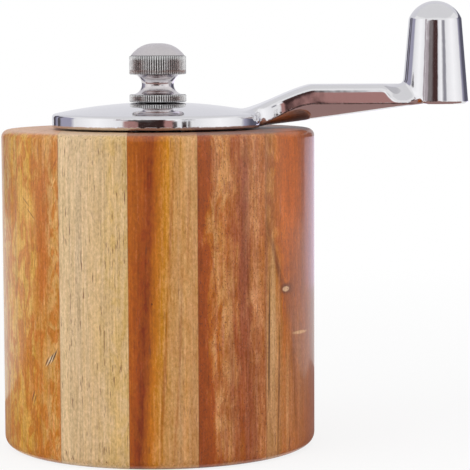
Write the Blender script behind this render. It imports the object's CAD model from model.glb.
"""Dresses the hand crank pepper mill: lacquered wood strips, chromed crank casting, knurled nut, grinder.

Sizes are millimetres in the mill's own frame: origin on the crank's axis at the base, +Z up, the crank
along +X, the photograph's camera on the -Y side. Meshes are scaled to metres when placed. The studio's
own sizes are metres.
"""

import logging
import math
from dataclasses import dataclass
from enum import Enum
from typing import Any, Iterable, Optional, Sequence, Union

import bmesh
import bpy
from mathutils import Matrix, Vector
from mathutils.bvhtree import BVHTree

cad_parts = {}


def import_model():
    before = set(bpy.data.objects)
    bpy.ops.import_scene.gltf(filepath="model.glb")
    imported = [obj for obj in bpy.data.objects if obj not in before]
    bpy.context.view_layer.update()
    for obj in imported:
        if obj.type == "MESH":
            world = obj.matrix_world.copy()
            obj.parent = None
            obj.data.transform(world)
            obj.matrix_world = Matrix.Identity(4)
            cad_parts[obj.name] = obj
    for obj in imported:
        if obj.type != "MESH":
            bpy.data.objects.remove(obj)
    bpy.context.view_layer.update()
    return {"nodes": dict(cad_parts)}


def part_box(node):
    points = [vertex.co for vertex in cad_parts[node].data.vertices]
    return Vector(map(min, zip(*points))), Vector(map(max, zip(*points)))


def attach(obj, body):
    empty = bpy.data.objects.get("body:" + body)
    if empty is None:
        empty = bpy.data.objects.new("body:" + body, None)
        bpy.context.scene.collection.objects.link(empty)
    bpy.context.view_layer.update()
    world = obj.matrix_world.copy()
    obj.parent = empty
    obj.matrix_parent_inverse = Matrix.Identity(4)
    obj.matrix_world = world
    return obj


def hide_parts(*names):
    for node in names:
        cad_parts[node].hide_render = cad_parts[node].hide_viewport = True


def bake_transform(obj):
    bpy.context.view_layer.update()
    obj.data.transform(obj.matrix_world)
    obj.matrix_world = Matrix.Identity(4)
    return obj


LOG = logging.getLogger("pepper_mill")
MM = 0.001  # metres to a millimetre
WELD = 0.001  # distance within which points are one
FAR = 1e4  # half depth of a mark, past the barrel
THREAD_SINK = 0.1  # depth of a thread's foot in its core
BARREL_TOP = 70.9
BAND_LEVEL = 36.0  # height at which the wood's bands are placed
FRONT_FADE = 4.0  # half width of the belt in which marks end towards the back
STRAY_SPAN = (-18.0, 12.0)  # from the front, where bands follow the photograph, to the back
STRAY_REACH = 12.0  # distance that bands stray at the back
SHIFT_WAY = (1.0, 1.7, 0.6)  # direction in which noise is shifted
WHITE = (1.0, 1.0, 1.0, 1.0)

Mesh = bmesh.types.BMesh
Piece = bpy.types.Object
Material = bpy.types.Material
Socket = bpy.types.NodeSocket
Input = Union[Socket, float, Sequence[float]]
Inputs = dict[Union[int, str], Input]
Colour = tuple[float, float, float, float]
Point = tuple[float, float]
Stop = tuple[float, Colour]


def srgb(red: int, green: int, blue: int) -> Colour:
    """Turn a display colour into the linear one that shaders take.

    Args:
        red: Red, 0 to 255.
        green: Green, 0 to 255.
        blue: Blue, 0 to 255.

    Returns:
        Linear red, green, blue and an alpha of 1.
    """
    shares = [c / 255 for c in (red, green, blue)]
    linear = [c / 12.92 if c <= 0.04045 else ((c + 0.055) / 1.055) ** 2.4 for c in shares]
    return (linear[0], linear[1], linear[2], 1.0)


def unit(t: float) -> float:
    """Keep a value within 0 and 1."""
    return min(1.0, max(0.0, t))


def smooth(t: float) -> float:
    """Ease from 0 to 1 with level ends."""
    t = unit(t)
    return t * t * (3 - 2 * t)


def mix(a: float, b: float, t: float) -> float:
    """Go from a to b as t goes from 0 to 1."""
    return a + (b - a) * t


def arc(centre: Point, radius: float, start: float, end: float, count: int) -> list[Point]:
    """Lay points along an arc in so many steps, from one angle in degrees to another."""
    angles = [math.radians(mix(start, end, i / count)) for i in range(count + 1)]
    return [(centre[0] + radius * math.cos(a), centre[1] + radius * math.sin(a)) for a in angles]


def circle(count: int) -> list[Point]:
    """List the cosine and sine of equal steps round a turn."""
    angles = [2 * math.pi * k / count for k in range(count)]
    return [(math.cos(a), math.sin(a)) for a in angles]


def bars(*runs: tuple[float, float, Colour]) -> list[Stop]:
    """Turn runs of even colour, each with its first and last place, into stops."""
    return [(place, colour) for first, last, colour in runs for place in sorted({first, last})]


def wire(tree: bpy.types.NodeTree, kind: str, inputs: Inputs, **settings: Any) -> bpy.types.Node:
    """Add a node, set its options and fill its sockets.

    Args:
        tree: Tree that takes the node.
        kind: Node type, without the prefix that all share.
        inputs: Links or values by the sockets' names or numbers.
        **settings: Options of the node.

    Returns:
        The node.
    """
    node = tree.nodes.new("ShaderNode" + kind)
    for key, value in settings.items():
        setattr(node, key, value)
    for key, value in inputs.items():
        if isinstance(value, bpy.types.NodeSocket):
            tree.links.new(value, node.inputs[key])
        else:
            node.inputs[key].default_value = value
    return node


class Graph:
    """Node tree of one material, with short calls for the nodes that the finishes share."""

    def __init__(self, name: str) -> None:
        """Start a material with the surface point in millimetres.

        Args:
            name: Name of the material.
        """
        self.material = bpy.data.materials.new(name)
        self.material.use_nodes = True
        self.tree = self.material.node_tree
        self.tree.nodes.clear()
        place = {0: self.node("TexCoord", {}).outputs["Object"], "Scale": 1 / MM}
        self.point = self.node("VectorMath", place, operation="SCALE").outputs[0]
        self.x, self.y, self.z = self.node("SeparateXYZ", {0: self.point}).outputs

    def node(self, kind: str, inputs: Inputs, **settings: Any) -> bpy.types.Node:
        """Add a node to the material, as wire does."""
        return wire(self.tree, kind, inputs, **settings)

    def show(self, surface: Socket) -> Material:
        """Make a shader the material's surface and give the material."""
        self.node("OutputMaterial", {"Surface": surface})
        return self.material

    def shader(self, **values: Input) -> Socket:
        """Add a principled shader, with its sockets named with _ in place of spaces."""
        inputs = {key.replace("_", " "): value for key, value in values.items()}
        return self.node("BsdfPrincipled", inputs).outputs["BSDF"]

    def math(self, operation: str, a: Input, b: Input = 0.0, c: Input = 0.0, clamp: bool = False) -> Socket:
        """Work out an operation on values, kept within 0 and 1 where clamped."""
        return self.node("Math", {0: a, 1: b, 2: c}, operation=operation, use_clamp=clamp).outputs[0]

    def times(self, a: Input, b: Input) -> Socket:
        """Multiply two values."""
        return self.math("MULTIPLY", a, b)

    def plus(self, a: Input, b: Input) -> Socket:
        """Add two values."""
        return self.math("ADD", a, b)

    def minus(self, a: Input, b: Input) -> Socket:
        """Take the second value from the first."""
        return self.math("SUBTRACT", a, b)

    def total(self, base: float, *terms: tuple[Socket, float]) -> Socket:
        """Add weighted textures, each counted from its middle, to a base value.

        Args:
            base: Value where every texture is at its middle.
            *terms: Textures with their weights.

        Returns:
            The sum.
        """
        result: Input = base - sum(weight for _, weight in terms) / 2
        for texture, weight in terms:
            result = self.math("MULTIPLY_ADD", texture, weight, result)
        return result

    def step(self, value: Input, low: float, high: float) -> Socket:
        """Rise softly from 0 to 1, or fall.

        Args:
            value: Value that is tested.
            low: Where the result is 0.
            high: Where the result is 1, below low for a fall.

        Returns:
            The step.
        """
        ends = {"From Min": min(low, high), "From Max": max(low, high)}
        ends |= {"To Min": float(low > high), "To Max": float(low < high)}
        return self.node("MapRange", {"Value": value, **ends}, interpolation_type="SMOOTHSTEP").outputs[0]

    def moved(self, scale: Sequence[float], shift: float = 0.0, vector: Optional[Socket] = None) -> Socket:
        """Stretch the surface point, or a given one, and shift it to set two finishes apart."""
        place = {"Vector": vector or self.point, "Location": [shift * way for way in SHIFT_WAY], "Scale": scale}
        return self.node("Mapping", place).outputs[0]

    def noise(self, vector: Socket, detail: float = 2.0, roughness: float = 0.5, bend: float = 0.0) -> Socket:
        """Make cloudy noise, 0 to 1, with finer layers, their weight and a distortion."""
        look = {"Scale": 1.0, "Detail": detail, "Roughness": roughness, "Distortion": bend}
        return self.node("TexNoise", {"Vector": vector, **look}).outputs[0]

    def even(self, fine: float, shift: float, detail: float = 2.0, roughness: float = 0.5) -> Socket:
        """Make noise of one fineness along all three axes."""
        return self.noise(self.moved((fine, fine, fine), shift), detail, roughness)

    def length(self, vector: Socket) -> Socket:
        """Measure a vector."""
        return self.node("VectorMath", {0: vector}, operation="LENGTH").outputs["Value"]

    def radius(self, centre: Point = (0.0, 0.0)) -> Socket:
        """Measure the distance from an upright line."""
        flat = {0: self.point, 1: (1.0, 1.0, 0.0), 2: (-centre[0], -centre[1], 0.0)}
        return self.length(self.node("VectorMath", flat, operation="MULTIPLY_ADD").outputs[0])

    def ramp(self, value: Socket, stops: Sequence[Stop]) -> Socket:
        """Turn a value into colour by stops.

        Args:
            value: Value from 0 to 1.
            stops: Places and colours, two or more.

        Returns:
            The colour.
        """
        node = self.node("ValToRGB", {0: value})
        elements = node.color_ramp.elements
        while len(elements) < len(stops):
            elements.new(1.0)
        for element, (place, colour) in zip(elements, stops):
            element.position = place
            element.color = colour
        return node.outputs[0]

    def blend(self, share: Input, base: Input, over: Input) -> Socket:
        """Lay one colour over another."""
        return self.node("Mix", {0: share, 6: base, 7: over}, data_type="RGBA").outputs[2]

    def shade(self, colour: Input, value: Input, saturation: Input = 1.0) -> Socket:
        """Make a colour lighter or darker and more or less strong."""
        look = {"Saturation": saturation, "Value": value, "Color": colour}
        return self.node("HueSaturation", look).outputs[0]

    def bump(self, height: Socket, strength: float, distance: float) -> Socket:
        """Turn a height, with its depth in millimetres, into a normal."""
        relief = {"Strength": strength, "Distance": distance * MM, "Height": height}
        return self.node("Bump", relief).outputs[0]


@dataclass(frozen=True)
class Band:
    """Colour of the wood at one place across a strip, at mid height."""

    at: float
    colour: Colour


@dataclass(frozen=True)
class Mark:
    """Soft upright ellipse of another colour on the barrel's front: a knot, flaw or patch.

    Width and height are half axes, tilt is the lean in degrees to the right going up.
    """

    x: float
    z: float
    width: float
    height: float
    colour: Colour
    strength: float = 1.0
    tilt: float = 0.0
    edge: float = 0.5
    ragged: float = 0.3

    def mask(self, g: Graph, *textures: Socket) -> Socket:
        """Draw the ellipse on the front, with its edge broken by textures.

        Args:
            g: Graph of the wood.
            *textures: Textures that break the edge.

        Returns:
            The mask, up to the mark's strength.
        """
        turned = {"Location": (self.x, 0.0, self.z), "Rotation": (0.0, math.radians(self.tilt), 0.0)}
        turned |= {"Vector": g.point, "Scale": (self.width, FAR, self.height)}
        away = g.length(g.node("Mapping", turned, vector_type="TEXTURE").outputs[0])
        away = g.plus(g.total(0.0, *((texture, self.ragged) for texture in textures)), away)
        front = g.step(g.y, FRONT_FADE, -FRONT_FADE)
        return g.times(g.times(g.step(away, 1.0 + self.edge, 1.0 - self.edge), front), self.strength)


@dataclass(frozen=True)
class WoodFinish:
    """Satin lacquered wood of one glued strip, with grain along the barrel."""

    name: str
    bands: tuple[Band, ...]
    lean: float
    wander: float
    pores: float
    pore_share: float
    figure: float
    flame: float
    stipple: float
    patch: Colour
    patches: float
    heart: Point
    seed: float
    end: Colour
    marks: tuple[Mark, ...] = ()
    dot: Colour = srgb(92, 44, 26)
    pore: Colour = srgb(104, 56, 30)
    glue: Colour = srgb(110, 64, 36)

    def material(self, low: float, high: float) -> Material:
        """Build the strip's material.

        Args:
            low: Left glue line or edge of the strip.
            high: Right glue line or edge of the strip.

        Returns:
            The material.
        """
        g = Graph(self.name)
        width = high - low

        def grain(across: float, along: float, detail: float, bend: float = 0.0, shift: float = 0.0) -> Socket:
            """Make noise stretched along the grain."""
            return g.noise(g.moved((across, across, along), self.seed + shift), detail, roughness=0.55, bend=bend)

        # Layers of the grain: fineness across and along it, detail, bend and shift.
        fibre = grain(2.6, 0.09, 4.0)
        fleck = grain(2.4, 1.3, 4.0, 0.3, 5.3)
        streak = grain(0.8, 0.015, 3.0, 0.4, 3.1)
        cloud = grain(0.42, 0.13, 4.0, 0.9, 7.7)
        drift = grain(0.06, 0.02, 2.0, 0.0, 11.3)
        flame = grain(0.42, 0.085, 3.0, 1.1, 29.0)
        stray = grain(0.05, 0.012, 2.0, 0.0, 17.9)
        mottle = grain(0.36, 0.14, 5.0, 1.6, 37.0)
        dots = g.step(grain(4.4, 2.6, 1.0, 0.0, 31.0), 0.6, 0.7)
        dashes = grain(3.2, 0.28, 1.0, 0.15, 23.0)

        # The bands follow the photograph on the front and stray from it towards the back.
        behind = g.times(g.step(g.y, *STRAY_SPAN), g.minus(stray, 0.5))
        across = g.plus(g.total(0.0, (drift, self.wander), (streak, 0.7), (flame, self.flame)), g.x)
        across = g.plus(across, g.times(g.minus(g.z, BAND_LEVEL), -self.lean))
        across = g.plus(across, g.times(behind, STRAY_REACH))
        share = g.math("DIVIDE", g.minus(across, low), width, clamp=True)
        colour = g.ramp(share, [((band.at - low) / width, band.colour) for band in self.bands])

        patchy = g.step(g.total(0.0, (mottle, 1.0), (fibre, 0.25)), -0.07, 0.07)
        colour = g.blend(g.times(patchy, self.patches), colour, self.patch)
        end = g.math("MAXIMUM", g.step(g.z, BARREL_TOP - 0.5, BARREL_TOP + 0.1), g.step(g.z, 0.7, 0.1))
        colour = g.blend(g.times(end, 0.85), colour, self.end)
        for mark in self.marks:
            colour = g.blend(mark.mask(g, cloud, fibre), colour, mark.colour)

        rings = g.math("SINE", g.plus(g.times(g.radius(self.heart), 2.4), g.times(cloud, 5.0)))
        rings = g.math("MULTIPLY_ADD", rings, 0.5, 0.5)
        value = g.total(1.0, (fibre, 0.85), (fleck, 0.9), (streak, 0.36), (cloud, self.figure), (rings, 0.06))
        strong = g.total(1.08, (fibre, -0.3), (fleck, -0.2), (streak, 0.2), (cloud, -0.15))
        colour = g.shade(colour, value, strong)

        colour = g.blend(g.times(dots, self.stipple), colour, self.dot)
        dashes = g.total(0.0, (dashes, 1.0), (cloud, 0.35))
        dashes = g.step(dashes, self.pore_share - 0.5, self.pore_share - 0.42)
        colour = g.blend(g.times(dashes, self.pores), colour, self.pore)
        seam = g.math("ABSOLUTE", g.math("MINIMUM", g.minus(g.x, low), g.minus(high, g.x)))
        colour = g.blend(g.times(g.step(seam, 0.2, 0.02), 0.25), colour, self.glue)

        return g.show(g.shader(
            Base_Color=colour,
            Roughness=g.plus(g.total(0.42, (fibre, 0.12), (cloud, 0.08)), g.times(end, 0.2)),
            Normal=g.bump(g.minus(g.times(fibre, 0.35), g.times(dashes, 0.4)), 0.25, 0.12),
            Specular_IOR_Level=0.3,
            Coat_Weight=g.minus(0.45, g.times(end, 0.3)),
            Coat_Roughness=0.12,
        ))


class Lay(Enum):
    """Direction of the tool marks on a metal face."""

    TURNED = "turned"
    DRAWN = "drawn"


@dataclass(frozen=True)
class MetalFinish:
    """Plain or satin metal with fine tool marks."""

    name: str
    colour: Colour
    roughness: float
    lay: Lay
    marks: float = 0.12

    def material(self) -> Material:
        """Build the metal's material.

        Returns:
            The material.
        """
        g = Graph(self.name)
        axes = {0: g.radius(), 1: g.z} if self.lay is Lay.TURNED else {0: g.x, 1: g.times(g.y, 0.02), 2: g.z}
        way = g.node("CombineXYZ", axes).outputs[0]
        lines = g.noise(g.moved((9.0, 9.0, 9.0), 0.0, way), 3.0, 0.6)
        cloud = g.even(0.25, 4.0, 3.0)
        return g.show(g.shader(
            Base_Color=g.shade(self.colour, g.total(1.0, (lines, self.marks), (cloud, 0.12))),
            Metallic=1.0,
            Roughness=g.total(self.roughness, (lines, 0.12), (cloud, 0.1)),
            Normal=g.bump(lines, 0.2, 0.02),
        ))


@dataclass(frozen=True)
class ArmLine:
    """Parting line of the casting: it leaves the lid's edge, climbs with the arm and runs level to the knob."""

    foot: float
    level: float
    end: float
    low: float
    high: float
    power: float = 1.15

    def height(self, x: float) -> float:
        """Give the line's height at a distance from the axis."""
        t = unit((x - self.foot) / (self.level - self.foot))
        return mix(self.low, self.high, math.sin(math.pi / 2 * t ** self.power))

    def mask(self, g: Graph, specks: Socket) -> Socket:
        """Draw the line as a broken thin mask.

        Args:
            g: Graph of the plate.
            specks: Fine noise that breaks the line.

        Returns:
            The mask, 1 on the line.
        """
        t = g.math("DIVIDE", g.minus(g.x, self.foot), self.level - self.foot, clamp=True)
        climb = g.math("SINE", g.times(g.math("POWER", t, self.power), math.pi / 2))
        line = g.plus(g.times(climb, self.high - self.low), self.low)
        off = g.math("ABSOLUTE", g.minus(g.z, line))
        thin = g.step(g.plus(off, g.times(specks, 0.3)), 0.34, 0.14)
        ends = g.times(g.step(g.x, self.foot, self.foot + 1.5), g.step(g.x, self.end + 1.0, self.end))
        return g.times(thin, ends)


@dataclass(frozen=True)
class ChromeFinish:
    """Bright plate on a casting: mirror with faint waves and the mould's parting line along the arm."""

    name: str
    colour: Colour
    roughness: float
    seam: ArmLine
    dirt: Colour = srgb(58, 50, 48)

    def material(self) -> Material:
        """Build the plate's material.

        Returns:
            The material.
        """
        g = Graph(self.name)
        waves, haze = g.even(0.22, 2.0), g.even(0.5, 9.0, 4.0, 0.6)
        line = self.seam.mask(g, g.even(2.2, 5.0))
        colour = g.shade(self.colour, g.total(1.0, (haze, 0.05)))
        return g.show(g.shader(
            Base_Color=g.blend(g.times(line, 0.85), colour, self.dirt),
            Metallic=1.0,
            Roughness=g.total(self.roughness, (haze, 0.05)),
            Normal=g.bump(g.plus(waves, g.times(line, 0.35)), 0.3, 0.12),
        ))


@dataclass(frozen=True)
class KnurlFinish:
    """Satin plate of the nut, dull in the grooves of the knurl and bright at the waist."""

    name: str
    colour: Colour
    band: Colour
    groove: Colour
    outer: float
    depth: float
    waist: Point

    def material(self) -> Material:
        """Build the nut's material.

        Returns:
            The material.
        """
        g = Graph(self.name)
        grit, cloud, r = g.even(3.0, 1.0, 3.0, 0.6), g.even(0.4, 6.0), g.radius()
        bands = g.step(r, self.outer - 1.6 * self.depth, self.outer - 1.2 * self.depth)
        low = g.step(g.plus(r, g.times(grit, 0.1)), self.outer, self.outer - self.depth)
        wear = g.minus(g.noise(g.moved((2.6, 2.6, 1.7), 8.0), 3.0, 0.6), 0.5)
        value = g.plus(g.total(1.0, (grit, 0.2), (cloud, 0.14)), g.times(g.times(bands, wear), 1.2))
        colour = g.shade(g.blend(bands, self.colour, self.band), value)
        bottom, top = self.waist
        bright = g.times(g.step(g.z, bottom - 0.1, bottom + 0.1), g.step(g.z, top + 0.1, top - 0.1))
        satin = g.minus(g.total(0.36, (grit, 0.12), (cloud, 0.08)), g.times(bands, 0.1))
        return g.show(g.shader(
            Base_Color=g.blend(g.times(bands, g.times(low, 0.9)), colour, self.groove),
            Metallic=1.0,
            Roughness=g.minus(satin, g.times(bright, 0.24)),
            Normal=g.bump(grit, 0.25, 0.05),
        ))


@dataclass(frozen=True)
class MouldedFinish:
    """Nylon or fired ceramic: even colour with fine grit and faint clouds."""

    name: str
    colour: Colour
    roughness: float
    grit: float
    speck: float = 0.0
    dust: Colour = srgb(120, 104, 84)

    def material(self) -> Material:
        """Build the moulded material.

        Returns:
            The material.
        """
        g = Graph(self.name)
        grit, cloud = g.even(5.0, 1.0, 3.0, 0.6), g.even(0.2, 3.0, 3.0)
        colour = g.shade(self.colour, g.total(1.0, (grit, 0.1), (cloud, 0.12)))
        dust = g.times(g.step(grit, 0.62, 0.72), self.speck)
        return g.show(g.shader(
            Base_Color=g.blend(dust, colour, self.dust),
            Roughness=g.total(self.roughness, (grit, 0.12), (cloud, 0.1)),
            Normal=g.bump(grit, self.grit, 0.05),
        ))


def lathe(chain: Sequence[Point], steps: int) -> Mesh:
    """Turn a chain of points round the Z axis.

    Args:
        chain: Points as radius and height.
        steps: Steps round the turn.

    Returns:
        The turned mesh.
    """
    bm = bmesh.new()
    verts = [bm.verts.new((r, 0.0, z)) for r, z in chain]
    edges = [bm.edges.new(pair) for pair in zip(verts, verts[1:])]
    bmesh.ops.spin(
        bm, geom=verts + edges, cent=(0, 0, 0), axis=(0, 0, 1), dvec=(0, 0, 0),
        angle=2 * math.pi, steps=steps, use_merge=True,
    )
    bmesh.ops.remove_doubles(bm, verts=bm.verts[:], dist=1e-5)
    bmesh.ops.recalc_face_normals(bm, faces=bm.faces[:])
    return bm


def loft(rings: Sequence[Sequence[Vector]]) -> Mesh:
    """Draw a closed skin through rings of equal counts by extruding the first one.

    Args:
        rings: Rings of points, in order.

    Returns:
        The skin with both ends filled.
    """
    bm = bmesh.new()
    ring = bmesh.ops.create_circle(bm, cap_ends=False, radius=1.0, segments=len(rings[0]))["verts"]
    first = edges = bm.edges[:]
    for vert, point in zip(ring, rings[0]):
        vert.co = point
    for points in rings[1:]:
        made = bmesh.ops.extrude_edge_only(bm, edges=edges)["geom"]
        fresh = {v for v in made if isinstance(v, bmesh.types.BMVert)}
        ring = [next(e.other_vert(v) for e in v.link_edges if e.other_vert(v) in fresh) for v in ring]
        edges = [e for e in made if isinstance(e, bmesh.types.BMEdge) and fresh.issuperset(e.verts)]
        for vert, point in zip(ring, points):
            vert.co = point
    for loop in (first, edges):
        bmesh.ops.edgeloop_fill(bm, edges=loop)
    bmesh.ops.recalc_face_normals(bm, faces=bm.faces[:])
    return bm


def helix(bm: Mesh, section: Sequence[Point], bottom: float, rise: float, turns: float, steps: int) -> None:
    """Sweep a closed section along a screw line into a mesh.

    Args:
        bm: Mesh that takes the sweep.
        section: Closed section as radius and height.
        bottom: Height that the section's zero starts from.
        rise: Climb over the whole sweep.
        turns: Turns round the axis.
        steps: Steps to each turn.
    """
    count = round(turns * steps)
    verts = [bm.verts.new((r, 0.0, bottom + z)) for r, z in section]
    edges = [bm.edges.new(pair) for pair in zip(verts, verts[1:] + verts[:1])]
    swept = bmesh.ops.spin(
        bm, geom=verts + edges, cent=(0, 0, 0), axis=(0, 0, 1), dvec=(0, 0, rise / count),
        angle=2 * math.pi * turns, steps=count,
    )["geom_last"]
    for loop in (edges, [e for e in swept if isinstance(e, bmesh.types.BMEdge)]):
        bmesh.ops.edgeloop_fill(bm, edges=loop)
    bmesh.ops.recalc_face_normals(bm, faces=bm.faces[:])


def ridge(core: float, outer: float, foot: float, crest: float) -> list[Point]:
    """Lay out a thread's section, from its half foot sunk into the core to its half crest."""
    root = core - THREAD_SINK
    return [(root, -foot), (outer, -crest), (outer, crest), (root, foot)]


def to_object(bm: Mesh, name: str) -> Piece:
    """Put a mesh into the scene as it is and free it.

    Args:
        bm: The mesh.
        name: Name of the object.

    Returns:
        The object.
    """
    mesh = bpy.data.meshes.new(name)
    bm.to_mesh(mesh)
    bm.free()
    obj = bpy.data.objects.new(name, mesh)
    bpy.context.scene.collection.objects.link(obj)
    return obj


def baked(obj: Piece) -> Mesh:
    """Take an object out of the scene as a mesh with its modifiers applied.

    Args:
        obj: The object, which goes.

    Returns:
        Its mesh.
    """
    bpy.context.view_layer.update()
    graph = bpy.context.evaluated_depsgraph_get()
    mesh = bpy.data.meshes.new_from_object(obj.evaluated_get(graph))
    bm = bmesh.new()
    bm.from_mesh(mesh)
    bpy.data.meshes.remove(mesh)
    bpy.data.objects.remove(obj)
    return bm


def cut(bm: Mesh, tool: Mesh) -> Mesh:
    """Cut one mesh out of another.

    Args:
        bm: Mesh to cut.
        tool: Mesh that is taken away.

    Returns:
        The cut mesh.
    """
    body, cutter = to_object(bm, "cut_body"), to_object(tool, "cut_tool")
    modifier = body.modifiers.new("cut", "BOOLEAN")
    modifier.operation = "DIFFERENCE"
    modifier.solver = "EXACT"
    modifier.object = cutter
    result = baked(body)
    bpy.data.objects.remove(cutter)
    return result


def joined(parts: Iterable[Mesh]) -> Mesh:
    """Gather meshes into one without merging them.

    Args:
        parts: The meshes, which stay.

    Returns:
        The whole.
    """
    whole = bmesh.new()
    for part in parts:
        mesh = bpy.data.meshes.new("part")
        part.to_mesh(mesh)
        whole.from_mesh(mesh)
        bpy.data.meshes.remove(mesh)
    return whole


def block(size: Sequence[float], centre: Sequence[float]) -> Mesh:
    """Make a square block.

    Args:
        size: Lengths along X, Y and Z.
        centre: Middle of the block.

    Returns:
        The block.
    """
    bm = bmesh.new()
    bmesh.ops.create_cube(bm, size=1.0, matrix=Matrix.Translation(centre) @ Matrix.Diagonal((*size, 1.0)))
    return bm


def place(
    bm: Mesh, name: str, material: Material, bodies: Sequence[str], nodes: Sequence[str], slot: str,
    sharp: float, span: Point = (0.0, 0.0),
) -> Piece:
    """Scale a finished mesh to metres and set it in the frame in place of its nodes.

    Args:
        bm: Mesh in millimetres.
        name: Name of the piece.
        material: Its finish.
        bodies: Body that it moves with, or the two that it stretches between.
        nodes: Nodes that it stands for.
        slot: Material slot of the record.
        sharp: Angle in degrees past which an edge stays crisp.
        span: Heights at which a stretching piece leaves the first body and joins the second.

    Returns:
        The piece.
    """
    bmesh.ops.remove_doubles(bm, verts=bm.verts[:], dist=WELD)
    bmesh.ops.dissolve_degenerate(bm, edges=bm.edges[:], dist=WELD)
    bmesh.ops.scale(bm, vec=(MM, MM, MM), verts=bm.verts[:])
    obj = to_object(bm, name)
    obj.data.shade_smooth()
    obj.data.set_sharp_from_angle(angle=math.radians(sharp))
    obj.data.materials.append(material)
    if len(bodies) == 1:
        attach(obj, bodies[0])
    else:
        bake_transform(obj)
    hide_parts(*nodes)
    LOG.info("%s: %d faces, goes with %s", name, len(obj.data.polygons), " and ".join(bodies))
    return obj


def coat(obj: Piece, material: Material) -> None:
    """Give a frame object a material in each of its slots.

    Args:
        obj: The frame's object.
        material: Its finish.
    """
    for slot in obj.material_slots:
        slot.material = material
    LOG.info("%s: %s", obj.name, material.name)


@dataclass
class Barrel:
    """Five glued strips, kept from the frame and dressed one by one."""

    finishes: dict[str, WoodFinish]

    def dress(self, nodes: dict[str, Piece]) -> None:
        """Give each strip its own wood.

        Args:
            nodes: The frame's objects by name.
        """
        for name, finish in self.finishes.items():
            low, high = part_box(name)
            coat(nodes[name], finish.material(low.x / MM, high.x / MM))


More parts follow.
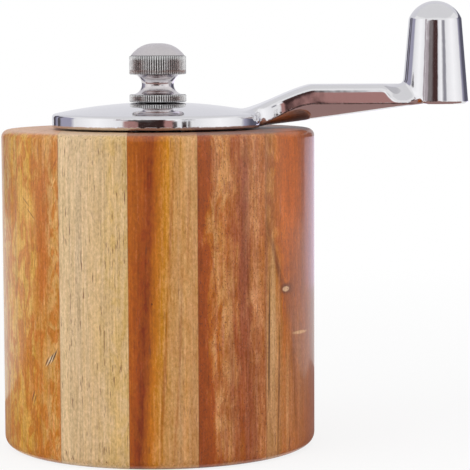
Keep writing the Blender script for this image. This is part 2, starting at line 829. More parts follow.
@dataclass
class CrankCasting:
    """Lid disc, gooseneck arm and knob, cast in one and plated."""

    lid_radius: float = 23.7
    lid_low: float = 71.3
    lid_height: float = 5.5
    lid_chamfer: float = 0.25
    lid_steps: int = 256
    dome_radius: float = 111.0
    wall: float = 2.4
    edge_round: float = 0.8
    hub_radius: float = 8.0
    hub_low: float = 71.85
    socket: float = 6.2
    arm_start: float = 16.5
    arm_rise: float = 18.5
    arm_half: float = 5.5
    arm_top: float = 80.7
    arm_bow: float = 0.1
    arm_stations: int = 110
    arm_sides: int = 96
    climb_start: float = 0.085
    climb_share: float = 0.87
    climb_ease: float = 0.35
    root_height: float = 3.4
    root_fillet: float = 9.0
    root_sink: float = 1.0
    root_flare: float = 1.12
    crown_power: float = 2 / 7
    end_power: float = 1.2
    end_start: float = 50.0
    end_length: float = 4.0
    belly_end: float = 60.8
    belly_power: float = 2 / 1.8
    belly_lift: float = 0.1
    belly_gap: float = 0.3
    belly_least: float = 0.2
    tuck: float = 0.4
    tuck_length: float = 1.2
    reach: float = 62.3
    knob_low: float = 76.2
    knob_foot: float = 7.5
    knob_top: float = 5.9
    knob_side: float = 19.0
    knob_cap: float = 4.0
    knob_round: float = 0.5
    knob_rows: int = 30
    knob_steps: int = 160
    voxel: float = 0.3
    fillet: float = 1.1
    fillet_passes: int = 40
    line: ArmLine = ArmLine(23.0, 35.0, 56.3, 72.0, 76.4)

    @property
    def crown(self) -> float:
        """Height of the lid's middle."""
        return self.lid_low + self.lid_height

    def roof(self, r: float, sunk: float = 0.0) -> float:
        """Height of the dome at a radius, or of its underside where sunk by the wall."""
        return self.crown - self.dome_radius + math.sqrt((self.dome_radius - sunk) ** 2 - r * r)

    def lid(self) -> Mesh:
        """Turn the domed lid, hollow underneath round its hub.

        Returns:
            The lid.
        """
        edge = self.lid_radius - self.edge_round
        centre_z = self.crown - self.dome_radius
        lean = math.degrees(math.asin(edge / (self.dome_radius - self.edge_round)))
        inner = self.lid_radius - self.wall
        under = self.dome_radius - self.wall
        spread, core = (math.degrees(math.asin(r / under)) for r in (inner, self.hub_radius))
        chain = [(0.0, self.crown)]
        chain += arc((0.0, centre_z), self.dome_radius, 90.0 - lean / 40, 90.0 - lean, 40)
        chain += arc((edge, self.roof(edge, self.edge_round)), self.edge_round, 90.0 - lean, 0.0, 10)[1:]
        chain += [(self.lid_radius, self.lid_low + self.lid_chamfer)]
        chain += [(self.lid_radius - self.lid_chamfer, self.lid_low), (inner, self.lid_low)]
        chain += arc((0.0, centre_z), under, 90.0 - spread, 90.0 - core, 20)
        chain += [(self.hub_radius, self.hub_low), (0.0, self.hub_low)]
        return lathe(chain, self.lid_steps)

    def half_width(self, x: float) -> float:
        """Give the arm's half width in plan, flaring along the root fillet into the lid.

        Args:
            x: Distance from the axis.

        Returns:
            The half width.
        """
        meet = self.lid_radius - self.root_sink
        span = math.sqrt((meet + self.root_fillet) ** 2 - (self.arm_half + self.root_fillet) ** 2)
        d = unit((span - x) / self.root_fillet * self.root_flare) / self.root_flare
        return self.arm_half + self.root_fillet * (1 - math.sqrt(1 - d * d))

    def top(self, x: float) -> float:
        """Give the height of the arm's top line at a distance from the axis."""
        t = unit((x - self.arm_start - self.climb_start * self.arm_rise) / (self.climb_share * self.arm_rise))
        return mix(self.lid_low + self.root_height, self.arm_top, mix(t, smooth(t), self.climb_ease))

    def belly(self, x: float) -> float:
        """Give the height of the arm's underside, kept inside the lid's wall above the hollow.

        Args:
            x: Distance from the axis.

        Returns:
            The height.
        """
        t = unit((x - self.line.foot) / (self.belly_end - self.line.foot))
        low = mix(self.lid_low + self.belly_lift, self.line.high - self.belly_gap, t)
        low = min(self.line.height(x) - self.belly_gap, low - self.arm_bow * math.sin(math.pi * t))
        inside = smooth((self.lid_radius - self.tuck - x) / self.tuck_length)
        return mix(low, self.roof(self.arm_start, self.wall) + self.tuck, inside)

    def section(self, x: float) -> list[Vector]:
        """Lay out the arm's cross-section: squared crown above the parting line, round belly below.

        Args:
            x: Distance from the axis.

        Returns:
            Points round the section.
        """
        half, top, belly = self.half_width(x), self.top(x), self.belly(x)
        part = max(self.line.height(x), belly + self.belly_least)
        crown = mix(self.crown_power, self.end_power, smooth((x - self.end_start) / self.end_length))
        points = []
        for c, s in circle(self.arm_sides):
            power, tall = (crown, top - part) if s >= 0 else (self.belly_power, part - belly)
            y, z = half * math.copysign(abs(c) ** power, c), tall * math.copysign(abs(s) ** power, s)
            points.append(Vector((x, y, part + z)))
        return points

    def arm(self) -> Mesh:
        """Draw the arm through its cross-sections."""
        count = self.arm_stations
        return loft([self.section(mix(self.arm_start, self.reach, i / count)) for i in range(count + 1)])

    def knob(self) -> Mesh:
        """Turn the tapered knob with its domed cap.

        Returns:
            The knob.
        """
        foot, high = self.knob_low + self.knob_round, self.knob_low + self.knob_side
        cap = (self.knob_top**2 + self.knob_cap**2) / (2 * self.knob_cap)
        cap_z = high + self.knob_cap - cap
        rim = math.degrees(math.asin((high - cap_z) / cap))
        rows = [i / self.knob_rows for i in range(1, self.knob_rows + 1)]
        chain = [(0.0, self.knob_low)]
        chain += arc((self.knob_foot - self.knob_round, foot), self.knob_round, -90.0, 0.0, 5)
        chain += [(mix(self.knob_foot, self.knob_top, t), mix(foot, high, t)) for t in rows]
        chain += arc((0.0, cap_z), cap, rim, 90.0, 24)[1:-1] + [(0.0, high + self.knob_cap)]
        bm = lathe(chain, self.knob_steps)
        bmesh.ops.translate(bm, vec=(self.reach, 0.0, 0.0), verts=bm.verts[:])
        return bm

    def fuse(self, parts: Sequence[Mesh]) -> Mesh:
        """Fuse the parts to one skin that keeps their faces and rounds the corners between them.

        Args:
            parts: Closed parts that reach into each other.

        Returns:
            The fused skin.
        """
        obj = to_object(joined(parts), "casting_blank")
        remesh = obj.modifiers.new("skin", "REMESH")
        remesh.mode = "VOXEL"
        remesh.voxel_size = self.voxel
        bm = baked(obj)
        trees = [BVHTree.FromBMesh(part) for part in parts]
        corner = []
        for vert in bm.verts:
            found = sorted((tree.find_nearest(vert.co) for tree in trees), key=lambda hit: hit[3])
            if found[1][3] < self.fillet:
                corner.append(vert)
            vert.co = found[0][0]
        for _ in range(self.fillet_passes):
            bmesh.ops.smooth_vert(
                bm, verts=corner, factor=0.5, use_axis_x=True, use_axis_y=True, use_axis_z=True,
            )
        for part in parts:
            part.free()
        return bm

    def build(self, finish: ChromeFinish) -> Piece:
        """Cast the crank and set it in the frame.

        Args:
            finish: The plate.

        Returns:
            The piece.
        """
        bm = self.fuse([self.lid(), self.arm(), self.knob()])
        hole = block((self.socket, self.socket, 4 * self.lid_height), (0.0, 0.0, self.lid_low))
        return place(
            cut(bm, hole), "crank_casting", finish.material(), ["crank"], ["crank_handle"], "chrome", sharp=60.0,
        )


@dataclass
class ThumbNut:
    """Knurled nut with a waist and a domed cap."""

    low: float = 76.85
    radius: float = 6.35
    bore: float = 2.55
    bore_depth: float = 9.2
    lead_in: float = 0.4
    flange: float = 1.7
    waist: float = 4.5
    waist_radius: float = 3.6
    head: float = 4.1
    cap: float = 2.8
    cap_flat: float = 0.8
    cap_inset: float = 0.05
    ribs: int = 72
    rib_steps: int = 6
    rib_depth: float = 0.25
    chamfer: float = 0.12

    @property
    def waist_span(self) -> Point:
        """Lower and upper end of the waist."""
        return (self.low + self.flange, self.low + self.flange + self.waist)

    def band(self, low: float, high: float) -> list[Point]:
        """Lay out one knurled band with chamfered edges.

        Args:
            low: Lower end.
            high: Upper end.

        Returns:
            Points as radius and height.
        """
        inner = self.radius - self.rib_depth
        rows = [(self.radius, mix(low + self.chamfer, high - self.chamfer, i / 4)) for i in range(5)]
        return [(inner, low), *rows, (inner, high)]

    def build(self, finish: KnurlFinish) -> Piece:
        """Turn the nut, knurl it and set it in the frame.

        Args:
            finish: The plate.

        Returns:
            The piece.
        """
        core = self.radius - self.rib_depth - self.cap_inset
        waist_low, head_low = self.waist_span
        cap_low, bore_top = head_low + self.head, self.low + self.bore_depth
        half = self.waist / 2
        cap_arc = ((core - self.cap_flat) ** 2 + self.cap**2) / (2 * self.cap)
        rim = math.degrees(math.acos((core - self.cap_flat) / cap_arc))
        chain = [(0.0, bore_top), (self.bore, bore_top), (self.bore, self.low + self.lead_in)]
        chain += [(self.bore + self.lead_in, self.low), (core - self.lead_in, self.low)]
        chain += self.band(self.low, waist_low)
        chain += arc((self.waist_radius + half, waist_low + half), half, 270.0, 90.0, 24)
        chain += self.band(head_low, cap_low)
        chain += arc((self.cap_flat, cap_low + self.cap - cap_arc), cap_arc, rim, 90.0, 16)
        chain += [(0.0, cap_low + self.cap)]
        bm = lathe(chain, self.ribs * self.rib_steps)
        for vert in bm.verts:
            r = math.hypot(vert.co.x, vert.co.y)
            if r > self.radius - self.rib_depth / 2:
                groove = 0.5 - 0.5 * math.cos(self.ribs * math.atan2(vert.co.y, vert.co.x))
                vert.co.xy = vert.co.xy * (1 - self.rib_depth * groove / r)
        return place(bm, "knurled_nut", finish.material(), ["nut"], ["thumb_nut"], "nut_plate", sharp=50.0)


@dataclass
class WoodScrews:
    """Countersunk wood screws with a cross recess and a cut thread."""

    name: str
    node: str
    slot: str
    length: float
    face: float
    places: Sequence[Point]
    upside_down: bool
    head: float = 2.6
    rim: float = 0.06
    dish: float = 0.2
    shank: float = 1.4
    thread: float = 0.35
    tip: float = 2.0
    neck: float = 1.0
    plain: float = 2.2
    run_in: float = 0.4
    pitch: float = 1.2
    recess: float = 0.7
    recess_arm: float = 1.25
    recess_thick: float = 0.24
    first_turn: float = 0.7
    next_turn: float = 1.3

    def one(self) -> Mesh:
        """Make one screw with its head's face at zero, pointing down.

        Returns:
            The screw.
        """
        deep, core = self.head - self.shank, self.shank - self.thread
        chain = [(0.0, -self.length), (core, self.tip - self.length), (core, -deep - self.neck)]
        chain += [(self.shank, -deep), (self.head - self.rim, -self.rim), (self.head - self.dish, 0.0), (0.0, 0.0)]
        body = lathe(chain, 48)
        arm, thick, tall = self.recess_arm * self.head, self.recess_thick * self.head, 2 * self.recess
        for size in ((arm, thick, tall), (thick, arm, tall)):
            body = cut(body, block(size, (0.0, 0.0, 0.0)))
        rise = self.length - self.tip - deep - self.plain
        low = self.tip + self.run_in - self.length
        helix(body, ridge(core, self.shank, 0.3, 0.03), low, rise, rise / self.pitch, 24)
        return body

    def build(self, material: Material) -> Piece:
        """Make all the screws and set them in the frame as one piece.

        Args:
            material: Their metal.

        Returns:
            The piece.
        """
        screws = []
        flip = Matrix.Rotation(math.pi if self.upside_down else 0.0, 4, "X")
        for count, (x, y) in enumerate(self.places):
            bm = self.one()
            spun = Matrix.Rotation(self.first_turn + self.next_turn * count, 4, "Z")
            bmesh.ops.transform(bm, matrix=Matrix.Translation((x, y, self.face)) @ flip @ spun, verts=bm.verts[:])
            screws.append(bm)
        return place(joined(screws), self.name, material, ["barrel"], [self.node], self.slot, sharp=30.0)


@dataclass
class DriveShaft:
    """Shaft with square ends, a clip groove and a threaded stud."""

    low: float = 6.2
    end_radius: float = 3.0
    end_chamfer: float = 0.3
    groove_radius: float = 2.3
    clip_low: float = 7.0
    clip_high: float = 7.8
    square: float = 6.0
    square_low: float = 8.6
    journal: float = 4.0
    journal_low: float = 31.05
    square_up: float = 70.85
    stud_low: float = 75.8
    stud_top: float = 84.8
    stud: float = 2.5
    stud_chamfer: float = 0.5
    thread: float = 0.5
    run_in: float = 0.6
    plain: float = 1.4
    pitch: float = 0.8
    sides: int = 96

    def ring(self, z: float, radius: float, flat: bool) -> list[Vector]:
        """Lay points round the shaft, on the square where it is flattened.

        Args:
            z: Height of the ring.
            radius: Radius of the round, or of the square's corners.
            flat: Flatten the ring to the square.

        Returns:
            The points.
        """
        ring = []
        for c, s in circle(self.sides):
            r = min(radius, self.square / 2 / max(abs(c), abs(s))) if flat else radius
            ring.append(Vector((r * c, r * s, z)))
        return ring

    def build(self, material: Material) -> Piece:
        """Make the shaft and set it in the frame.

        Args:
            material: Its steel.

        Returns:
            The piece.
        """
        core, end = self.stud - self.thread, self.end_radius
        levels: list[tuple[float, float, bool]] = [
            (self.low, end - self.end_chamfer, False), (self.low + self.end_chamfer, end, False),
            (self.clip_low, end, False), (self.clip_low, self.groove_radius, False),
            (self.clip_high, self.groove_radius, False), (self.clip_high, end, False),
            (self.square_low, end, False), (self.square_low, self.journal, True),
            (self.journal_low, self.journal, True), (self.journal_low, self.journal, False),
            (self.square_up, self.journal, False), (self.square_up, self.journal, True),
            (self.stud_low, self.journal, True), (self.stud_low, core, False),
            (self.stud_top - self.stud_chamfer, core, False), (self.stud_top, core - self.stud_chamfer, False),
        ]
        bm = loft([self.ring(*level) for level in levels])
        rise = self.stud_top - self.stud_low - self.plain
        helix(bm, ridge(core, self.stud, 0.36, 0.06), self.stud_low + self.run_in, rise, rise / self.pitch, 48)
        return place(bm, "shaft_with_stud", material, ["drive"], ["drive_shaft"], "steel", sharp=30.0)


@dataclass
class GrinderSpring:
    """Round wire wound between the rotor's hub and the spring seat."""

    low: float = 20.6
    length: float = 8.0
    radius: float = 5.2
    wire: float = 0.5
    turns: float = 4.5
    end_gap: float = 0.05

    def build(self, material: Material) -> Piece:
        """Wind the spring and set it in the frame.

        Args:
            material: Its steel.

        Returns:
            The piece.
        """
        bm = bmesh.new()
        rise = self.length - 2 * (self.wire + self.end_gap)
        section = arc((self.radius, 0.0), self.wire, 0.0, 360.0, 16)[:-1]
        helix(bm, section, self.low + self.wire + self.end_gap, rise, self.turns, 40)
        ends = (self.low + self.length, self.low)
        return place(
            bm, "wound_spring", material, ["turning_seat", "drive"], ["grinder_spring"], "satin_steel",
            sharp=50.0, span=ends,
        )


# Colours of cards on more than one side.
DARK, SOOT, PALE = srgb(58, 40, 38), srgb(86, 81, 81), (0.82, 0.82, 0.83, 1.0)


@dataclass
class Studio:
    """Pale floor, soft lamps, mirror cards and the photograph's camera, in metres."""

    eye: tuple[float, float, float] = (0.0, -0.47007, 0.08913)
    turn: float = -2.091
    pitch: float = 84.855
    roll: float = -0.234
    lens: float = 160.28
    sensor: float = 36.0
    near_clip: float = 0.01
    ambient: float = 0.55
    floor_size: float = 2.0
    floor_drop: float = 0.00002
    floor_colour: Colour = (0.9, 0.9, 0.9, 1.0)
    shadow_share: float = 0.18
    shadow_span: Point = (400.0, 90.0)  # millimetres, as graphs measure
    aim: tuple[float, float, float] = (0.0, 0.0, 0.045)
    lamp_size: float = 0.8
    top_lamp_size: float = 0.9
    front_away: float = 0.75
    side_away: float = 0.6

    def seen(self, tree: bpy.types.NodeTree) -> Socket:
        """Tell rays that see the background: from the camera, from mirrors and through glass.

        Args:
            tree: Tree that asks.

        Returns:
            1 for such rays, 0 for the others.
        """
        path = wire(tree, "LightPath", {}).outputs
        share = path["Is Camera Ray"]
        for name in ("Is Glossy Ray", "Is Transmission Ray"):
            share = wire(tree, "Math", {0: share, 1: path[name]}, operation="MAXIMUM").outputs[0]
        return share

    def world(self) -> None:
        """Make a white surround that gives a softer, greyer light."""
        world = bpy.data.worlds.new("studio")
        bpy.context.scene.world = world
        world.use_nodes = True
        tree = world.node_tree
        tree.nodes.clear()
        lit = wire(tree, "Background", {"Color": WHITE, "Strength": self.ambient}).outputs[0]
        shown = wire(tree, "Background", {"Color": WHITE}).outputs[0]
        blend = wire(tree, "MixShader", {0: self.seen(tree), 1: lit, 2: shown}).outputs[0]
        wire(tree, "OutputWorld", {"Surface": blend})

    def plane(self, name: str, size: Point, matrix: Matrix, material: Material) -> Piece:
        """Make a flat stage piece.

        Args:
            name: Its name.
            size: Width and height.
            matrix: Its place.
            material: Its finish.

        Returns:
            The stage piece.
        """
        bm = bmesh.new()
        bmesh.ops.create_grid(bm, x_segments=1, y_segments=1, size=0.5)
        bmesh.ops.scale(bm, vec=(size[0], size[1], 1.0), verts=bm.verts[:])
        obj = to_object(bm, name)
        obj.matrix_world = matrix
        obj.data.materials.append(material)
        return obj

    def floor(self) -> None:
        """Lay the pale floor, which shows white and keeps the mill's shadow."""
        g = Graph("floor_white")
        pale = g.shader(Base_Color=self.floor_colour, Roughness=0.9, Specular_IOR_Level=0.1)
        near = g.times(g.step(g.radius(), *self.shadow_span), self.shadow_share)
        share = g.times(self.seen(g.tree), g.minus(1.0, near))
        glow = g.node("Emission", {}).outputs[0]
        material = g.show(g.node("MixShader", {0: share, 1: pale, 2: glow}).outputs[0])
        size = (self.floor_size, self.floor_size)
        self.plane("floor", size, Matrix.Translation((0, 0, -self.floor_drop)), material)

    def card(self, name: str, matrix: Matrix, size: Point, stops: Sequence[Stop], glow: float = 1.0) -> None:
        """Put up a card that only mirrors see.

        Args:
            name: Its name.
            matrix: Its place, with the width along X and the height along Y.
            size: Width and height.
            stops: Colours across its width.
            glow: Brightness.
        """
        g = Graph(name)
        width = size[0] / MM
        share = g.math("DIVIDE", g.plus(g.x, width / 2), width)
        light = g.node("Emission", {"Color": g.ramp(share, stops), "Strength": glow}).outputs[0]
        obj = self.plane(name, size, matrix, g.show(light))
        obj.visible_camera = obj.visible_diffuse = obj.visible_shadow = obj.visible_transmission = False

    def stand(
        self, name: str, azimuth: float, away: float, low: float, size: Point, stops: Sequence[Stop],
        glow: float = 1.0,
    ) -> None:
        """Put up a card that stands facing the mill.

        Args:
            name: Its name.
            azimuth: Direction from the mill in degrees, from the camera's side to the right.
            away: Distance from the axis.
            low: Height of its lower edge.
            size: Width and height.
            stops: Colours across its width.
            glow: Brightness.
        """
        angle = math.radians(azimuth)
        spot = Vector((away * math.sin(angle), -away * math.cos(angle), low + size[1] / 2))
        facing = Matrix.Rotation(angle, 4, "Z") @ Matrix.Rotation(math.pi / 2, 4, "X")
        self.card(name, Matrix.Translation(spot) @ facing, size, stops, glow)

    def lay(self, name: str, centre: Sequence[float], size: Point, colour: Colour) -> None:
        """Put up a level card of one colour."""
        self.card(name, Matrix.Translation(centre), size, bars((0.0, 1.0, colour)))

    def lamp(self, name: str, spot: Sequence[float], size: float, watts: float) -> None:
        """Hang a soft square lamp that faces the mill.

        Args:
            name: Its name.
            spot: Its place.
            size: Length of its sides.
            watts: Its power.
        """
        light = bpy.data.lights.new(name, "AREA")
        light.shape = "RECTANGLE"
        light.size = light.size_y = size
        light.energy = watts
        obj = bpy.data.objects.new(name, light)
        way = Vector(self.aim) - Vector(spot)
        obj.matrix_world = Matrix.Translation(spot) @ way.to_track_quat("-Z", "Y").to_matrix().to_4x4()
        obj.visible_glossy = False
        bpy.context.scene.collection.objects.link(obj)

    def camera(self) -> None:
        """Set the camera at the photograph's viewing angle."""
        data = bpy.data.cameras.new("camera")
        data.lens, data.sensor_width, data.clip_start = self.lens, self.sensor, self.near_clip
        obj = bpy.data.objects.new("camera", data)
        matrix = Matrix.Translation(self.eye)
        for degrees, axis in ((self.turn, "Z"), (self.pitch, "X"), (self.roll, "Z")):
            matrix = matrix @ Matrix.Rotation(math.radians(degrees), 4, axis)
        obj.matrix_world = matrix
        bpy.context.scene.collection.objects.link(obj)
        bpy.context.scene.camera = obj

    def front_cards(self) -> None:
        """Put up what the chrome mirrors from the camera's side: bars of brown, grey and white."""
        brown, umber = srgb(182, 136, 131), srgb(72, 51, 50)
        rose, apron = srgb(166, 132, 130), srgb(160, 128, 123)
        mauve, ash, steel = (0.42, 0.37, 0.39, 1.0), (0.2, 0.175, 0.175, 1.0), (0.29, 0.285, 0.315, 1.0)
        low = bars(
            (0.0, 0.0, WHITE), (0.06, 0.25, brown), (0.27, 0.57, DARK), (0.59, 0.66, brown), (0.675, 0.72, DARK),
            (0.735, 0.78, WHITE), (0.8, 0.86, DARK), (0.88, 0.88, WHITE), (0.91, 0.91, DARK), (0.95, 0.95, WHITE),
        )
        middle = bars(
            (0.22, 0.22, WHITE), (0.27, 0.44, SOOT), (0.52, 0.52, DARK), (0.537, 0.537, umber),
            (0.55, 0.6, brown), (0.63, 0.63, WHITE),
        )
        high = bars(
            (0.04, 0.04, WHITE), (0.06, 0.14, rose), (0.18, 0.27, mauve), (0.3, 0.39, ash), (0.45, 0.545, umber),
            (0.57, 0.57, PALE), (0.65, 0.65, WHITE), (0.71, 0.77, steel), (0.86, 0.86, WHITE),
        )
        self.stand("front_low", 0.0, self.front_away, 0.002, (1.2, 0.051), low)
        self.stand("front_middle", 0.0, self.front_away, 0.053, (1.9, 0.097), middle)
        self.stand("front_high", 0.0, self.front_away, 0.15, (1.9, 0.12), high, 1.2)
        self.stand("knob_shade", -43.0, 0.58, 0.12, (0.07, 0.16), bars((0.0, 1.0, mauve)), 1.2)
        self.lay("front_apron", (0.0, -0.325, 0.001), (1.3, 0.75), apron)
        self.lay("arm_apron", (0.055, 0.075, 0.001), (0.09, 0.05), apron)

    def round_cards(self) -> None:
        """Put up what the chrome and the lacquer mirror from the sides, from behind and from above."""
        slate, lilac, orchid = srgb(98, 97, 112), srgb(172, 170, 190), (0.86, 0.8, 1.0, 1.0)
        sky, roof = (0.8, 0.8, 0.84, 1.0), (0.84, 0.84, 0.85, 1.0)
        sides = bars((0.0, 0.0, PALE), (0.5, 0.5, WHITE), (1.0, 1.0, PALE))
        left = bars(
            (0.0, 0.0, slate), (0.1, 0.1, DARK), (0.16, 0.16, slate), (0.3, 0.3, lilac), (0.36, 0.42, SOOT),
            (0.5, 0.85, lilac), (1.0, 1.0, WHITE),
        )
        right = bars((0.0, 0.0, WHITE), (0.12, 0.12, lilac), (0.35, 1.0, slate))
        for name, azimuth in (("left_white", -68.0), ("right_white", 68.0)):
            self.stand(name, azimuth, self.side_away, 0.018, (0.66, 0.3), sides, 1.22)
        for name, azimuth, stops in (("left_flag", -127.0, left), ("right_flag", 127.0, right)):
            self.stand(name, azimuth, self.side_away, 0.002, (0.62, 0.3), stops)
        self.stand("right_low", 152.0, 0.3, 0.002, (0.25, 0.056), bars((0.0, 1.0, orchid)), 1.6)
        self.stand("back_card", 180.0, 0.9, 0.0, (3.0, 1.3), bars((0.0, 1.0, sky)))
        self.lay("ceiling", (0.0, 0.0, 1.3), (3.0, 3.0), roof)

    def build(self) -> None:
        """Set up the whole studio."""
        self.world()
        self.floor()
        self.front_cards()
        self.round_cards()
        self.lamp("left_lamp", (-0.75, -0.45, 0.45), self.lamp_size, 3.3)
        self.lamp("right_lamp", (0.75, -0.45, 0.45), self.lamp_size, 2.8)
        self.lamp("top_lamp", (0.0, -0.1, 0.95), self.top_lamp_size, 1.9)
        self.camera()
        bpy.context.scene.view_settings.view_transform = "Standard"


def woods() -> dict[str, WoodFinish]:
    """List the wood of each strip, from the photograph.

    Returns:
        Finishes by the strips' names.
    """
    return {
        "strip_left_outer": WoodFinish(
            "acacia_orange",
            (
                Band(-35.0, srgb(202, 162, 102)), Band(-31.0, srgb(208, 160, 80)), Band(-28.2, srgb(208, 160, 82)),
                Band(-26.4, srgb(190, 130, 64)), Band(-24.6, srgb(198, 144, 80)), Band(-22.8, srgb(208, 160, 100)),
                Band(-21.2, srgb(204, 154, 94)),
            ),
            lean=0.0135, wander=2.4, pores=0.45, pore_share=0.67, figure=0.5, flame=9.0, stipple=0.25,
            patch=srgb(186, 110, 46), patches=0.75, heart=(-60.0, -10.0), seed=1.3, end=srgb(212, 170, 142),
            marks=(
                Mark(-28.3, 55.4, 1.6, 4.0, srgb(226, 180, 104), 0.7, -14.0, 0.6, 0.9),
                Mark(-25.0, 50.0, 1.3, 16.0, srgb(184, 108, 56), 0.7, 0.0, 0.7, 0.9),
                Mark(-24.1, 22.2, 0.13, 1.1, srgb(80, 52, 40), 0.85, 22.0, 0.5, 0.4),
                Mark(-23.3, 22.7, 0.17, 1.5, srgb(64, 44, 36), 0.95, 26.0, 0.5, 0.3),
                Mark(-23.65, 22.4, 0.13, 1.2, srgb(232, 212, 182), 0.85, 26.0, 0.5, 0.3),
                Mark(-22.8, 23.1, 0.13, 1.3, srgb(232, 212, 182), 0.8, 24.0, 0.5, 0.3),
                Mark(-22.4, 23.6, 0.16, 1.5, srgb(66, 44, 36), 0.9, 22.0, 0.5, 0.3),
                Mark(-27.3, 14.3, 0.12, 1.1, srgb(84, 56, 42), 0.8, 14.0, 0.5, 0.5),
                Mark(-26.9, 13.6, 0.1, 0.9, srgb(84, 56, 42), 0.7, 12.0, 0.5, 0.5),
                Mark(-27.4, 53.6, 0.1, 1.3, srgb(120, 76, 40), 0.8, -38.0, 0.5, 0.5),
                Mark(-28.6, 56.2, 0.1, 1.2, srgb(126, 80, 44), 0.7, -40.0, 0.5, 0.5),
                Mark(-22.4, 60.2, 0.12, 1.6, srgb(232, 190, 130), 0.7, 20.0, 0.5, 0.5),
                Mark(-22.0, 64.5, 0.12, 1.3, srgb(150, 86, 48), 0.7, 24.0, 0.5, 0.5),
            ),
        ),
        "strip_left": WoodFinish(
            "acacia_pale",
            (
                Band(-21.2, srgb(213, 186, 146)), Band(-17.5, srgb(207, 180, 142)),
                Band(-13.5, srgb(206, 176, 134)), Band(-10.0, srgb(208, 176, 124)), Band(-6.5, srgb(200, 166, 112)),
            ),
            lean=0.0, wander=2.4, pores=0.75, pore_share=0.655, figure=0.14, flame=4.0, stipple=0.12,
            patch=srgb(212, 182, 144), patches=0.45, heart=(-14.0, 70.0), seed=5.9, end=srgb(214, 182, 150),
        ),
        "strip_middle": WoodFinish(
            "acacia_dark",
            (
                Band(-6.5, srgb(170, 92, 34)), Band(-4.6, srgb(162, 79, 23)), Band(-3.6, srgb(145, 63, 15)),
                Band(-2.8, srgb(130, 52, 12)), Band(-2.0, srgb(158, 80, 24)), Band(-0.8, srgb(186, 114, 44)),
                Band(0.6, srgb(200, 140, 70)), Band(2.2, srgb(199, 150, 94)), Band(5.0, srgb(201, 157, 108)),
                Band(8.1, srgb(194, 146, 98)),
            ),
            lean=0.046, wander=0.9, pores=0.5, pore_share=0.67, figure=0.26, flame=2.0, stipple=0.2,
            patch=srgb(176, 110, 56), patches=0.2, heart=(40.0, 50.0), seed=9.1, end=srgb(146, 104, 84),
            marks=(
                Mark(2.4, 50.0, 0.3, 14.0, srgb(160, 98, 52), 0.5, 3.0, 0.8, 1.3),
                Mark(4.4, 29.0, 0.24, 13.0, srgb(164, 104, 60), 0.45, 2.0, 0.8, 1.3),
                Mark(0.8, 17.0, 0.36, 14.0, srgb(150, 84, 40), 0.55, 3.4, 0.8, 1.2),
                Mark(6.2, 54.0, 0.24, 10.0, srgb(166, 108, 66), 0.45, 1.6, 0.8, 1.3),
                Mark(3.4, 10.0, 0.26, 8.0, srgb(160, 98, 54), 0.45, 3.6, 0.8, 1.3),
                Mark(-1.6, 35.5, 0.2, 0.25, srgb(84, 46, 26), 0.8, 0.0, 0.5, 0.3),
            ),
        ),
        "strip_right": WoodFinish(
            "acacia_red",
            (
                Band(8.1, srgb(150, 73, 30)), Band(10.2, srgb(158, 80, 36)), Band(11.6, srgb(180, 112, 62)),
                Band(13.2, srgb(200, 146, 96)), Band(15.0, srgb(194, 134, 84)), Band(16.4, srgb(176, 106, 60)),
                Band(17.9, srgb(158, 88, 54)), Band(19.3, srgb(188, 124, 78)), Band(21.0, srgb(202, 143, 96)),
                Band(22.8, srgb(186, 120, 74)),
            ),
            lean=-0.024, wander=2.6, pores=0.5, pore_share=0.665, figure=0.6, flame=9.5, stipple=0.7,
            patch=srgb(150, 75, 38), patches=0.45, heart=(15.0, -90.0), seed=14.7, end=srgb(122, 88, 78),
            marks=(
                Mark(18.4, 13.0, 4.2, 17.0, srgb(142, 76, 48), 0.5, 4.0, 0.8, 0.9),
                Mark(18.1, 46.0, 1.0, 22.0, srgb(134, 74, 56), 0.6, 1.5, 0.7, 0.7),
            ),
        ),
        "strip_right_outer": WoodFinish(
            "acacia_brown",
            (
                Band(22.8, srgb(172, 114, 66)), Band(24.4, srgb(184, 126, 74)), Band(26.4, srgb(178, 100, 44)),
                Band(28.4, srgb(166, 87, 32)), Band(30.4, srgb(162, 88, 36)), Band(32.2, srgb(150, 84, 44)),
                Band(35.0, srgb(146, 92, 64)),
            ),
            lean=0.0, wander=1.9, pores=0.6, pore_share=0.66, figure=0.7, flame=6.5, stipple=0.4,
            patch=srgb(146, 78, 42), patches=0.6, heart=(80.0, 20.0), seed=21.3, end=srgb(110, 80, 72),
            marks=(
                Mark(28.2, 59.0, 2.8, 15.0, srgb(198, 104, 42), 0.7, 0.0, 0.8, 0.9),
                Mark(24.3, 16.0, 1.9, 24.0, srgb(194, 146, 98), 0.8, 0.0, 0.6, 0.6),
                Mark(25.2, 43.0, 0.45, 8.0, srgb(122, 68, 40), 0.75, -14.4, 0.8, 0.4),
                Mark(28.6, 12.0, 3.4, 15.0, srgb(188, 134, 90), 0.55, 0.0, 0.8, 0.9),
                Mark(27.4, 37.1, 1.3, 1.15, srgb(108, 62, 38), 0.9, 0.0, 0.4, 0.3),
                Mark(27.3, 37.0, 0.72, 0.55, srgb(206, 168, 134), 0.95, 0.0, 0.3, 0.15),
                Mark(29.2, 24.0, 0.5, 20.0, srgb(138, 80, 48), 0.6, -2.0, 0.8, 0.8),
                Mark(31.4, 40.0, 0.35, 26.0, srgb(146, 86, 54), 0.55, 0.0, 0.8, 0.8),
                Mark(27.6, 12.0, 0.3, 12.0, srgb(204, 156, 108), 0.5, 0.0, 0.8, 0.8),
                Mark(30.6, 26.9, 1.5, 0.34, srgb(214, 166, 118), 0.85, 6.0, 0.5, 0.6),
                Mark(24.3, 30.0, 0.5, 15.0, srgb(212, 168, 118), 0.7, 0.0, 0.7, 0.7),
                Mark(23.45, 26.0, 0.17, 13.0, srgb(74, 42, 26), 0.9, 0.5, 0.5, 0.4),
                Mark(25.6, 14.0, 0.2, 12.0, srgb(110, 64, 38), 0.7, 1.0, 0.6, 0.6),
            ),
        ),
    }


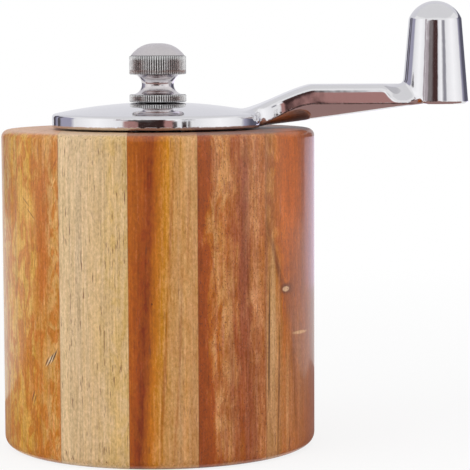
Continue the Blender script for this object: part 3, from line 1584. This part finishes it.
def dress_grinder(nodes: dict[str, Piece]) -> None:
    """Build the turned and screwed pieces of the grinder and give the kept ones their finish.

    Args:
        nodes: The frame's objects by name.
    """
    steel = MetalFinish("turned_steel", (0.52, 0.53, 0.55, 1.0), 0.3, Lay.TURNED).material()
    drawn = MetalFinish("drawn_steel", (0.55, 0.56, 0.58, 1.0), 0.34, Lay.DRAWN).material()
    satin = MetalFinish("satin_steel", (0.62, 0.62, 0.63, 1.0), 0.32, Lay.TURNED).material()
    black = MouldedFinish("black_nylon", srgb(40, 40, 43), 0.5, 0.2).material()
    pale = MouldedFinish("white_nylon", srgb(226, 224, 214), 0.45, 0.15).material()
    ceramic = MouldedFinish("white_ceramic", srgb(236, 232, 222), 0.55, 0.25, 0.15).material()

    WoodScrews(
        "plate_screws", "base_screws", "steel", length=12.0, face=6.4,
        places=arc((0.0, 0.0), 21.05, 90.0, 330.0, 2), upside_down=True,
    ).build(steel)
    WoodScrews(
        "bar_screws", "bridge_screws", "satin_steel", length=11.0, face=70.7,
        places=[(0.0, -20.0), (0.0, 20.0)], upside_down=False,
    ).build(satin)
    DriveShaft().build(steel)
    GrinderSpring().build(satin)

    kept = {
        "bridge_bar": drawn, "shaft_bush": pale, "grinder_housing": black, "stator_burr": ceramic,
        "base_plate": satin, "spring_seat": steel, "rotor_hub": black, "rotor_burr": ceramic,
        "end_washer": steel, "retaining_clip": drawn,
    }
    for name, material in kept.items():
        coat(nodes[name], material)


def main() -> None:
    """Load the frame, dress the mill and report each piece."""
    logging.basicConfig(level=logging.INFO, format="%(name)s: %(message)s")
    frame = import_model()
    nodes = frame["nodes"]

    Studio().build()
    Barrel(woods()).dress(nodes)
    crank = CrankCasting()
    crank.build(ChromeFinish("chrome_plate", (0.74, 0.735, 0.755, 1.0), 0.06, crank.line))
    nut = ThumbNut()
    nut.build(KnurlFinish(
        "nut_plate", (0.635, 0.603, 0.612, 1.0), (0.632, 0.632, 0.632, 1.0), (0.04, 0.04, 0.04, 1.0),
        nut.radius, nut.rib_depth, nut.waist_span,
    ))
    dress_grinder(nodes)


if __name__ == "__main__":
    main()
